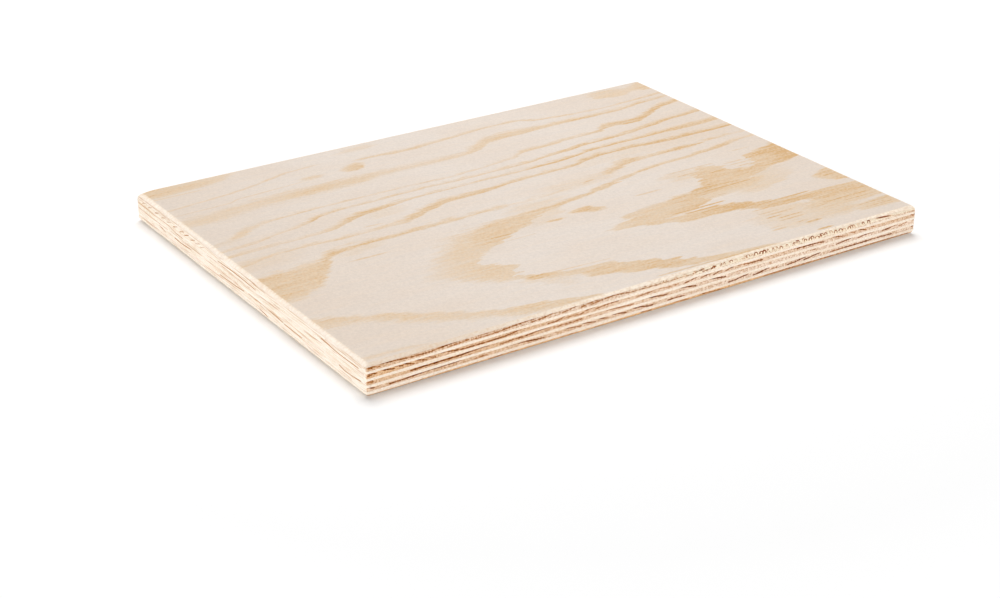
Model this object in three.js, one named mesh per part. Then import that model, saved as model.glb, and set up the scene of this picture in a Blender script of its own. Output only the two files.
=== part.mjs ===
// A plywood sheet: eleven rotary-cut pine veneers, laid with the grain of each at right angles
// to the next, pressed flat, cut to size and sanded, with every arris rounded over.
// Millimetres. X runs along the length and the face grain, Y across, Z up through the plies.
// The origin is the middle of the underside.
import * as THREE from 'three';

// Driving dimensions
const LENGTH = 370;
const WIDTH = 265;
const OUTER_PLY = 0.9;        // face and back veneer, sanded
const CROSS_PLY = 2.0;        // plies with their grain across the sheet
const LONG_PLY = 1.55;        // inner plies with their grain along the sheet
const CROSS_COUNT = 5;        // the inner plies alternate, starting and ending with a cross ply
const ARRIS_RADIUS = 3;       // round along the upper and lower edges
const CORNER_RADIUS = 1;      // the four upright corners, as left by the saw and sander
const WAVE = 0.22;            // how far a glue line wanders from its level
const OUTER_WAVE = 0.1;       // the same, for the glue lines next to the thin outer plies
const EDGE_STEP = 10;         // spacing of the points that follow a glue line round the sheet
const CORNER_STEPS = 2;
const ROUND_STEPS = 3;        // facets on the rounded stretch of one ply
const FLAT_ENOUGH = 0.01;     // a ply drawn in by less has an upright edge, in one facet

const PINE = { color: 0xe6d6c2, roughness: 0.62 };
const LONG_GRAIN_EDGE = { color: 0xecd9c0, roughness: 0.7 };
const END_GRAIN_EDGE = { color: 0xc79d72, roughness: 0.82 };

// The lay-up, from the back up to the face
function layUp() {
  const plies = [{ name: 'back_veneer', thickness: OUTER_PLY, finish: PINE }];
  for (let i = CROSS_COUNT; i >= 1; i -= 1) {
    plies.push({ name: `cross_ply_${i}`, thickness: CROSS_PLY, finish: END_GRAIN_EDGE });
    if (i > 1) {
      plies.push({ name: `long_ply_${i - 1}`, thickness: LONG_PLY, finish: LONG_GRAIN_EDGE });
    }
  }
  plies.push({ name: 'face_veneer', thickness: OUTER_PLY, finish: PINE });
  return plies;
}

const plies = layUp();
const THICKNESS = plies.reduce((sum, ply) => sum + ply.thickness, 0);
const STRAIGHT = THICKNESS / 2 - ARRIS_RADIUS;   // half the upright part of the edge

// The sheet's outline, with points close enough to follow the glue lines
function sheetOutline() {
  const x = LENGTH / 2;
  const y = WIDTH / 2;
  const r = CORNER_RADIUS;
  const points = [];
  const side = (fromX, fromY, toX, toY) => {
    const count = Math.round(Math.hypot(toX - fromX, toY - fromY) / EDGE_STEP);
    const line = new THREE.LineCurve(new THREE.Vector2(fromX, fromY), new THREE.Vector2(toX, toY));
    points.push(...line.getPoints(count).slice(0, -1));
  };
  const corner = (cx, cy, start) => {
    const arc = new THREE.EllipseCurve(cx, cy, r, r, start, start + Math.PI / 2);
    points.push(...arc.getPoints(CORNER_STEPS).slice(0, -1));
  };
  side(-x + r, -y, x - r, -y);
  corner(x - r, -y + r, -Math.PI / 2);
  side(x, -y + r, x, y - r);
  corner(x - r, y - r, 0);
  side(x - r, y, -x + r, y);
  corner(-x + r, y - r, Math.PI / 2);
  side(-x, y - r, -x, -y + r);
  corner(-x + r, -y + r, Math.PI);
  return points;
}

// The profile of the edge, by the distance along it from mid height: a height, and how far
// the edge has drawn in from the full outline there.
function edgeDistance(z) {
  const fromMiddle = z - THICKNESS / 2;
  const into = Math.abs(fromMiddle) - STRAIGHT;
  if (into <= 0) return fromMiddle;
  const turn = Math.asin(Math.min(into / ARRIS_RADIUS, 1));
  return Math.sign(fromMiddle) * (STRAIGHT + ARRIS_RADIUS * turn);
}

function edgeAt(distance) {
  const turn = (Math.abs(distance) - STRAIGHT) / ARRIS_RADIUS;
  if (turn <= 0) return { z: THICKNESS / 2 + distance, drawnIn: 0 };
  const rise = STRAIGHT + ARRIS_RADIUS * Math.sin(turn);
  return {
    z: THICKNESS / 2 + Math.sign(distance) * rise,
    drawnIn: ARRIS_RADIUS * (1 - Math.cos(turn)),
  };
}

// The height of a glue line. Veneers of uneven thickness bed into each other, so it wanders;
// the faces of the sheet, below the first ply and above the last, are sanded flat.
function glueLine(index, level, x, y) {
  if (index === 0 || index === plies.length) return level;
  const reach = index === 1 || index === plies.length - 1 ? OUTER_WAVE : WAVE;
  const long = Math.sin(x / 23 + 1.9 * index) * Math.cos(y / 31 + 0.7 * index);
  const short = Math.sin(x / 9.5 - y / 12 + 2.6 * index);
  return level + reach * (0.65 * long + 0.35 * short);
}

// One ply: half its section, from the middle of its underside out to the edge and back over
// its top, carried round the outline. Its edge follows the rounded profile of the sheet from
// the glue line below to the one above, and neighbours meet face to face on the glue line.
function plyGeometry(outline, index, bottom, top) {
  const drawnIn = edgeAt(edgeDistance(bottom)).drawnIn + edgeAt(edgeDistance(top)).drawnIn;
  const steps = drawnIn > FLAT_ENOUGH ? ROUND_STEPS : 1;
  const section = [new THREE.Vector2(0, 0)];
  for (let i = 0; i <= steps; i += 1) section.push(new THREE.Vector2(1, i / steps));
  section.push(new THREE.Vector2(0, 1));

  const geometry = new THREE.LatheGeometry(section, outline.length);
  const position = geometry.attributes.position;
  for (let i = 0; i < position.count; i += 1) {
    const { x: out, y: up } = section[i % section.length];
    const rim = outline[Math.floor(i / section.length) % outline.length];
    const x = rim.x * out;
    const y = rim.y * out;
    const low = edgeDistance(glueLine(index, bottom, x, y));
    const high = edgeDistance(glueLine(index + 1, top, x, y));
    const edge = edgeAt(THREE.MathUtils.lerp(low, high, up));
    const alongX = 1 - 2 * edge.drawnIn / LENGTH;
    const alongY = 1 - 2 * edge.drawnIn / WIDTH;
    position.setXYZ(i, x * alongX, y * alongY, edge.z);
  }
  geometry.computeVertexNormals();
  return geometry;
}

const sheet = new THREE.Group();
const outline = sheetOutline();
let level = 0;
plies.forEach((ply, index) => {
  const material = new THREE.MeshStandardMaterial({ ...ply.finish, metalness: 0 });
  const mesh = new THREE.Mesh(plyGeometry(outline, index, level, level + ply.thickness), material);
  mesh.name = ply.name;
  sheet.add(mesh);
  level += ply.thickness;
});

export default sheet;
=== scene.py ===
import math

import bmesh
import bpy
import numpy as np
from mathutils import Matrix, Vector


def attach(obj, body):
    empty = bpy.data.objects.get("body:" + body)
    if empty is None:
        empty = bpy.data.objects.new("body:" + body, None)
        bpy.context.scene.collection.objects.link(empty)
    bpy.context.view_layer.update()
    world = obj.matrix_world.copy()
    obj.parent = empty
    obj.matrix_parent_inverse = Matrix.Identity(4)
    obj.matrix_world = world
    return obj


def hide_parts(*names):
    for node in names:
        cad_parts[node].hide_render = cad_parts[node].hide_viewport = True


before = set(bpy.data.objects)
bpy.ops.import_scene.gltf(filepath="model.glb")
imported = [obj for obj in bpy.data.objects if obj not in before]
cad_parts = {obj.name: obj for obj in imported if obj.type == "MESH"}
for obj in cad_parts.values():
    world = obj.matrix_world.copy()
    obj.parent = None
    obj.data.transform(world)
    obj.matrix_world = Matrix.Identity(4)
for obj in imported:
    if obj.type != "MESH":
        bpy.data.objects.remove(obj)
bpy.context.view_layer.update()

# The sheet, in millimetres: X along the face grain, Y across, Z up through the plies
MM = 0.001
LENGTH = 370.0
WIDTH = 265.0
THICKNESS = 18.0
OUTER_PLY = 0.9
CROSS_PLY = 2.0
LONG_PLY = 1.55
ARRIS = 3.0
CORNER = 1.0
WAVE = 0.22
OUTER_WAVE = 0.1
STRAIGHT = THICKNESS / 2 - ARRIS
ROUND_GIRTH = STRAIGHT + ARRIS * math.pi / 2
WORN_DEPTH = 1.3      # at the upper rear left corner
WORN_REACH = 5.0
RIM = 4.0             # the points within this of the outline make the edge that shows
HIDDEN_INSET = 12.0   # where a hidden glue face turns from a ring into a fan
OUT_OF_REACH = 1.6    # how far off a line of late wood is still looked for
BAND_GROUPS = "abcde"

PLY_NAMES = [
    "back_veneer", "cross_ply_5", "long_ply_4", "cross_ply_4", "long_ply_3", "cross_ply_3",
    "long_ply_2", "cross_ply_2", "long_ply_1", "cross_ply_1", "face_veneer",
]
PLY_THICKNESS = [
    OUTER_PLY, CROSS_PLY, LONG_PLY, CROSS_PLY, LONG_PLY, CROSS_PLY,
    LONG_PLY, CROSS_PLY, LONG_PLY, CROSS_PLY, OUTER_PLY,
]

# How far the glue lines lie below their even places, along the sheet, and each one's share
SAG = [(-163, 0.75), (-125, 0.57), (-75, 0.4), (-25, 0.3), (25, 0.2), (75, 0.15), (125, 0.35),
       (165, 0.62)]
SAG_SHARE = [0, 0, 1.6, 1.3, 1.2, 1.2, 1.0, 1.0, 0.5, 0.8, 0.7, 0]

# How much higher the glue line under the face veneer runs, where the veneer is sanded thin
THIN_FACE = [(0, 0), (45, 0.45), (150, 0.5), (164, 0.35), (178, 0)]


# ---------------------------------------------------------------- the shape of the edge

def glue_line(index, x, y):
    """The height of the glue line under ply number index, counted from the back."""
    level = sum(PLY_THICKNESS[:index])
    if index == 0 or index == len(PLY_NAMES):
        return np.full(np.shape(x), level)
    reach = OUTER_WAVE if index in (1, len(PLY_NAMES) - 1) else WAVE
    level = level - SAG_SHARE[index] * np.interp(x, [s[0] for s in SAG], [s[1] for s in SAG])
    if index == len(PLY_NAMES) - 1:
        level = level + np.interp(x, [t[0] for t in THIN_FACE], [t[1] for t in THIN_FACE])
    long_wave = np.sin(x / 23 + 1.9 * index) * np.cos(y / 31 + 0.7 * index)
    short_wave = np.sin(x / 9.5 - y / 12 + 2.6 * index)
    return level + reach * (0.65 * long_wave + 0.35 * short_wave)


def girth_at(z):
    """The distance along the rounded edge from mid height to the height z."""
    above = z - THICKNESS / 2
    into = np.clip(np.abs(above) - STRAIGHT, 0, ARRIS)
    rounded = np.sign(above) * (STRAIGHT + ARRIS * np.arcsin(into / ARRIS))
    return np.where(np.abs(above) <= STRAIGHT, above, rounded)


def edge_at(girth):
    """Height, how far the edge has drawn in, and the slope of its outward direction."""
    turn = np.clip((np.abs(girth) - STRAIGHT) / ARRIS, 0, math.pi / 2)
    straight = np.abs(girth) <= STRAIGHT
    rise = np.where(straight, girth, np.sign(girth) * (STRAIGHT + ARRIS * np.sin(turn)))
    return THICKNESS / 2 + rise, ARRIS * (1 - np.cos(turn)), turn * np.sign(girth)


def outward(x, y):
    """The level direction that faces away from the sheet, at a point on its outline."""
    across = np.clip(np.abs(x) - (LENGTH / 2 - CORNER), 0, None) * np.sign(x)
    along = np.clip(np.abs(y) - (WIDTH / 2 - CORNER), 0, None) * np.sign(y)
    size = np.maximum(np.hypot(across, along), 1e-9)
    return across / size, along / size


def worn_corner(x, y, z):
    """How far the upper rear left corner is worn down below the even arris."""
    near = np.hypot(x + LENGTH / 2, y - WIDTH / 2)
    return WORN_DEPTH * np.exp(-(near / WORN_REACH) ** 2) * np.clip((z - 11) / 7, 0, 1) ** 2


def on_the_edge(x, y, girth, depth):
    """Carries points of the full outline onto the rounded edge, then sinks them by depth."""
    z, drawn_in, slope = edge_at(girth)
    out_x, out_y = outward(x, y)
    level = depth * np.cos(slope)
    new_x = x * (1 - 2 * drawn_in / LENGTH) - out_x * level
    new_y = y * (1 - 2 * drawn_in / WIDTH) - out_y * level
    new_z = z - depth * np.sin(slope)
    return new_x, new_y, new_z - worn_corner(new_x, new_y, new_z)


# ---------------------------------------------------------------- roughness, by hand and seed

def ease(t):
    """0 to 1 with a level start and end."""
    return t * t * (3 - 2 * t)


def uneven(u, v, size_u, size_v, seed):
    """Smooth unevenness between -1 and 1, in patches of the given size."""
    values = np.random.default_rng(seed).uniform(-1, 1, (257, 61))
    u = np.abs(u / size_u + 1000.3) % 256
    v = np.abs(v / size_v + 100.7) % 60
    i = np.floor(u).astype(int)
    j = np.floor(v).astype(int)
    a = ease(u - i)
    b = ease(v - j)
    low = values[i, j] * (1 - a) + values[i + 1, j] * a
    high = values[i, j + 1] * (1 - a) + values[i + 1, j + 1] * a
    return low * (1 - b) + high * b


def bump_at(u, v, centre_u, centre_v, reach_u, reach_v):
    """A soft round patch: 1 at its centre, falling away over its reach."""
    return np.exp(-((u - centre_u) / reach_u) ** 2 - ((v - centre_v) / reach_v) ** 2)


# ---------------------------------------------------------------- lines on the edges

# Dark lines of late wood on the long edges: strength, then points along the edge and up it
FRONT_LINES = [
    (0.7, [(-184.8, 16.4), (-182.6, 16.0)]),
    (0.6, [(-184, 16.9), (-178, 15.9)]),
    (0.85, [(-177, 16.95), (-171, 16.6), (-165, 16.2), (-158, 15.9), (-149, 15.8), (-142, 16.4),
            (-134, 17.0), (-128, 17.2)]),
    (0.6, [(-138, 15.5), (-132, 15.8), (-126, 16.2)]),
    (0.7, [(-124, 15.7), (-115, 15.6), (-108, 15.8), (-103, 16.3), (-94, 16.7), (-86, 17.0)]),
    (0.4, [(-121, 16.7), (-111, 16.8)]),
    (0.7, [(-88, 15.7), (-81, 16.1), (-74, 16.9)]),
    (0.6, [(-69, 15.9), (-65, 16.3), (-60, 17.0)]),
    (0.5, [(-56, 16.0), (-51, 16.7), (-46, 17.1)]),
    (0.6, [(-50, 15.9), (-44, 16.4), (-36, 17.1), (-31, 16.8), (-24, 16.2), (-10, 16.1),
           (0, 16.1), (10, 16.2), (17, 16.1)]),
    (0.65, [(17, 16.2), (20, 16.6), (26, 17.1)]),
    (0.7, [(25, 16.0), (31, 16.2), (34, 16.8)]),
    (0.35, [(165, 16.2), (168, 15.9), (184, 15.5)]),
    (0.9, [(-184.8, 12.0), (-182.6, 12.2)]),
    (0.8, [(-184, 13.2), (-180, 12.4)]),
    (1.0, [(-177, 13.1), (-174, 12.8), (-170, 12.2)]),
    (0.8, [(-169, 13.3), (-165, 12.4)]),
    (1.0, [(-164, 13.2), (-158.5, 11.7)]),
    (1.0, [(-156.5, 13.2), (-151, 11.7)]),
    (0.9, [(-150.5, 13.2), (-146, 11.8)]),
    (0.95, [(-143.5, 13.3), (-139, 12.9), (-134, 12.2), (-128, 11.7), (-115, 11.8), (-106, 11.9),
            (-100, 12.3), (-96, 13.1)]),
    (0.45, [(-103, 13.3), (-92, 13.3)]),
    (0.7, [(-77, 11.9), (-73, 11.8), (-69, 12.4), (-67, 13.4)]),
    (0.5, [(-66, 12.1), (-61, 12.3)]),
    (0.65, [(-60, 12.1), (-56, 11.9), (-53, 13.0), (-48, 13.5)]),
    (0.7, [(-47, 12.2), (-43, 12.6), (-39, 13.0), (-32, 13.4)]),
    (0.6, [(-20, 12.2), (-16, 12.4), (-10, 12.8)]),
    (0.35, [(-8, 13.5), (0, 12.6), (8, 12.6)]),
    (0.85, [(13, 12.1), (17, 12.7), (22.5, 13.8)]),
    (0.7, [(24, 12.2), (27, 12.9), (31, 13.7)]),
    (1.0, [(33, 12.0), (38.5, 13.8)]),
    (0.75, [(41.5, 12.2), (47.5, 13.8)]),
    (0.4, [(50, 13.4), (54, 12.9), (57, 12.6)]),
    (0.9, [(57, 12.5), (62, 12.5), (67, 12.4)]),
    (0.45, [(78, 13.7), (92, 13.3), (97, 13.0)]),
    (0.85, [(93, 12.9), (105, 12.8), (113, 12.2)]),
    (0.6, [(120, 13.3), (129, 12.0)]),
    (0.4, [(133, 13.2), (136, 12.5)]),
    (0.75, [(139.5, 13.4), (145, 12.0)]),
    (0.3, [(148, 13.4), (152, 12.5)]),
    (0.4, [(163, 13.2), (167, 12.4)]),
    (0.4, [(180, 13.4), (182.5, 12.4)]),
    (0.9, [(183.6, 12.9), (185, 13.1)]),
    (0.9, [(-184.8, 9.5), (-182.4, 9.2)]),
    (0.7, [(-184.6, 8.5), (-181.5, 8.3)]),
    (0.4, [(-172, 9.8), (-165, 9.5)]),
    (1.3, [(-160, 8.3), (-153, 8.5), (-144, 8.6), (-134, 8.5), (-128, 8.9), (-123, 9.2),
           (-119, 9.5), (-114, 9.6)]),
    (0.6, [(-158, 8.8), (-146, 9.0), (-132, 9.0)]),
    (0.85, [(-107, 8.3), (-99, 8.7), (-93, 8.6), (-87, 9.0), (-85, 9.4), (-80, 9.7), (-76, 9.9)]),
    (0.6, [(-73, 8.6), (-68, 8.8), (-62, 8.6), (-56, 8.9)]),
    (0.6, [(-51, 9.7), (-45, 9.9), (-40, 9.6), (-36, 9.3), (-31, 8.9), (-22, 8.5)]),
    (1.0, [(-20, 9.9), (-14, 9.8), (-9, 9.4), (-5, 8.8), (0, 8.5)]),
    (1.0, [(8, 9.9), (12, 9.7), (16.5, 9.0), (20, 8.5)]),
    (0.5, [(24, 9.8), (31, 9.8)]),
    (1.0, [(31, 9.8), (36, 9.2), (41, 8.6)]),
    (0.25, [(49, 9.9), (58, 9.9)]),
    (0.45, [(103, 9.5), (107, 9.1)]),
    (0.9, [(123, 8.3), (128, 8.8), (138, 9.9)]),
    (0.7, [(139.5, 8.3), (143, 8.8), (155, 9.9)]),
    (0.75, [(158, 8.3), (164, 8.7), (171, 9.8)]),
    (0.4, [(172, 8.2), (177, 9.1)]),
    (0.9, [(183.4, 9.4), (185, 9.8)]),
    (0.9, [(-184.8, 5.7), (-181, 4.8)]),
    (1.2, [(-172, 4.6), (-167, 4.7), (-161, 4.9), (-156, 5.2), (-152, 5.5), (-148, 5.6),
           (-140, 5.6), (-135, 5.7), (-131, 5.8)]),
    (0.5, [(-122, 4.4), (-114, 4.6)]),
    (0.9, [(-103.5, 6.0), (-98.5, 5.8), (-93, 5.7), (-89, 5.3), (-85, 4.8), (-80, 4.7)]),
    (0.65, [(-66, 6.0), (-61, 5.4), (-56.5, 4.8)]),
    (0.95, [(-55, 6.0), (-47, 4.8)]),
    (0.75, [(-44, 6.0), (-39, 4.9)]),
    (0.95, [(-36, 6.1), (-31, 5.5), (-26.5, 4.8)]),
    (0.95, [(-22, 6.0), (-16.5, 5.6), (-12, 4.8), (-9, 4.8)]),
    (0.9, [(1.5, 4.8), (5, 4.9), (9, 4.9), (12.5, 4.6)]),
    (0.95, [(44, 4.7), (50, 5.1), (53, 5.6), (57.5, 6.1)]),
    (0.95, [(61.5, 4.6), (66.5, 5.1), (72, 6.1)]),
    (0.4, [(74, 4.8), (78, 5.2)]),
    (0.95, [(86.5, 4.6), (92, 5.0), (99, 6.1)]),
    (0.9, [(99, 4.6), (104, 5.3), (110.5, 6.1)]),
    (0.45, [(118, 4.6), (129, 4.8)]),
    (0.9, [(129, 4.8), (140, 4.7), (156, 4.8), (166, 4.6)]),
    (1.0, [(182.6, 5.4), (185, 5.9)]),
    (0.6, [(-114, 1.7), (-106, 2.0), (-97, 2.1)]),
    (0.4, [(-68, 2.0), (-58, 2.0)]),
    (0.6, [(-16, 2.2), (-10, 1.7)]),
    (0.5, [(6, 2.1), (11, 2.0), (16, 1.5)]),
    (0.6, [(26, 2.2), (31, 2.0), (40, 1.6)]),
    (0.5, [(70, 1.9), (84, 2.1), (113, 1.9), (150, 1.9), (180, 1.7)]),
]

# The same on the short edges, by distance across the sheet and height
SIDE_LINES = [
    (0.4, [(130, 16.2), (115, 16.1), (100, 15.9), (88, 15.7)]),
    (0.35, [(42, 16.3), (30, 16.0), (24, 15.8)]),
    (0.5, [(6, 16.7), (-5, 16.4), (-15, 16.1), (-28, 15.7)]),
    (0.35, [(-88, 17.7), (-110, 17.6), (-131, 17.3)]),
    (0.4, [(-92, 15.6), (-105, 15.4), (-118, 15.2), (-128, 15.0)]),
    (0.8, [(27, 13.4), (20, 13.7), (10, 14.1), (0, 14.0), (-12, 13.6), (-17, 13.4)]),
    (0.35, [(-38, 13.2), (-44, 13.3)]),
    (0.3, [(-75, 15.1), (-82, 14.7), (-88, 14.4)]),
    (0.8, [(-88, 14.4), (-95, 14.1), (-100, 13.8), (-105, 13.4), (-112, 13.4), (-125, 13.6)]),
    (0.55, [(131, 12.1), (115, 12.1), (100, 12.0), (88, 11.9), (84, 11.1), (80, 10.7),
            (72, 10.6)]),
    (0.5, [(40, 11.9), (28, 12.1), (14, 11.9), (0, 11.8), (-10, 11.7)]),
    (0.45, [(-18, 11.6), (-35, 11.7), (-50, 11.5), (-57, 11.4)]),
    (0.55, [(-70, 11.3), (-78, 11.4), (-88, 11.7)]),
    (0.3, [(-100, 12.4), (-130, 12.3)]),
    (0.6, [(131, 8.9), (122, 8.7), (100, 8.7), (92, 8.6)]),
    (0.4, [(88, 9.3), (70, 9.2), (48, 9.1)]),
    (0.45, [(42, 8.5), (20, 8.4), (4, 8.3)]),
    (0.6, [(103, 7.6), (98, 6.9), (95, 6.3)]),
    (0.7, [(82, 7.1), (75, 6.8), (68, 7.1), (61, 7.6)]),
    (0.75, [(25, 6.0), (15, 6.2), (5, 6.6), (-3, 7.2)]),
    (0.6, [(-9, 7.8), (-25, 7.6), (-35, 7.1), (-47, 6.6)]),
    (0.75, [(-49, 6.2), (-58, 6.1), (-67, 6.0)]),
    (0.3, [(-68, 7.8), (-90, 7.7)]),
    (0.6, [(-106, 7.2), (-112, 6.4), (-120, 6.6), (-127, 7.3)]),
    (0.35, [(-22, 6.1), (-32, 5.5), (-42, 5.0)]),
    (0.35, [(125, 4.2), (112, 4.0), (100, 4.1)]),
    (0.35, [(88, 4.4), (70, 4.3), (50, 4.4)]),
    (0.35, [(40, 4.6), (22, 4.6)]),
    (0.3, [(-74, 3.7), (-84, 3.4)]),
    (0.3, [(-105, 4.8), (-118, 4.3)]),
    (0.65, [(-21, 3.8), (-26, 3.4), (-30, 2.8)]),
]
for across, strong in ((122, 0.5), (114, 0.5), (104.5, 0.95), (96, 0.5), (88.5, 0.5), (80.5, 0.7),
                       (72, 0.6), (66, 0.8), (58, 0.7), (52, 0.4), (46, 0.4)):
    SIDE_LINES.append((strong, [(across + 2.5, 13.7), (across - 2.3, 15.3)]))

# How deep the colour of the end grain is along the front edge. On cross_ply_5 the values run above
# 1, which paints warm bounce light onto its shaded lower round.
CROSS_TONE_AND_BOUNCE = {
    "cross_ply_1": [(-186, 0.8), (-150, 0.6), (-120, 0.45), (-95, 0.25), (0, 0.1), (25, 0),
                    (50, 0.1), (80, 0), (110, 0), (135, 0.1), (186, 0.05)],
    "cross_ply_2": [(-186, 1.2), (-170, 1.1), (-155, 0.9), (-100, 0.8), (-75, 0.75),
                    (-45, 0.55), (0, 0.35), (25, 0.2), (50, 0.45), (85, 0.5), (105, 0.15),
                    (145, 0.45), (160, 0.6), (186, 0.5)],
    "cross_ply_3": [(-186, 0.9), (-90, 0.85), (-60, 0.55), (0, 0.4), (25, 0.2), (60, 0),
                    (130, 0), (186, 0.15)],
    "cross_ply_4": [(-186, 0.6), (-100, 0.65), (-40, 0.5), (0, 0.35), (25, 0.1), (186, 0.2)],
    "cross_ply_5": [(-186, 1.6), (0, 1.5), (186, 1.35)],
}


def nearest_line(lines, place, z):
    """The distance in millimetres to the nearest of the lines, and how strong that line is."""
    away = np.full(len(place), OUT_OF_REACH)
    strength = np.zeros(len(place))
    for strong, points in lines:
        along = np.array([p[0] for p in sorted(points)], float)
        height = np.array([p[1] for p in sorted(points)], float)
        past = np.maximum(along[0] - place, place - along[-1])
        apart = np.hypot(z - np.interp(place, along, height), 0.5 * np.clip(past, 0, None))
        nearer = apart < away
        away = np.where(nearer, apart, away)
        strength = np.where(nearer, strong, strength)
    return away, strength


def edge_lines(name, x, y, z, on_side):
    """Lines of late wood on all four edges: each grain runs through to the edge opposite."""
    seed = int(name[-1])
    back = y + WIDTH / 2
    right = x + LENGTH / 2
    along_x = x + 5 * np.sin(back / 70 + seed) - 5 * math.sin(seed) + 0.05 * back - 0.6
    along_y = y + 4 * np.sin(right / 80 + seed) - 4 * math.sin(seed) - 0.03 * right
    lower = 0.25 if name == "cross_ply_1" else 0
    front = nearest_line(FRONT_LINES, along_x, z + lower)
    side = nearest_line(SIDE_LINES, along_y, z)
    if name.startswith("long"):
        front = (np.full(len(x), OUT_OF_REACH), np.zeros(len(x)))
    away = np.where(on_side, side[0], front[0])
    strong = front[1] * np.interp(x, [-120, 10, 60], [0.9, 1.06, 1.2])
    strong *= np.where(z > 15, 0.84, 1)
    return away, np.where(on_side, side[1], strong), along_x


# ---------------------------------------------------------------- the figure of the face

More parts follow.
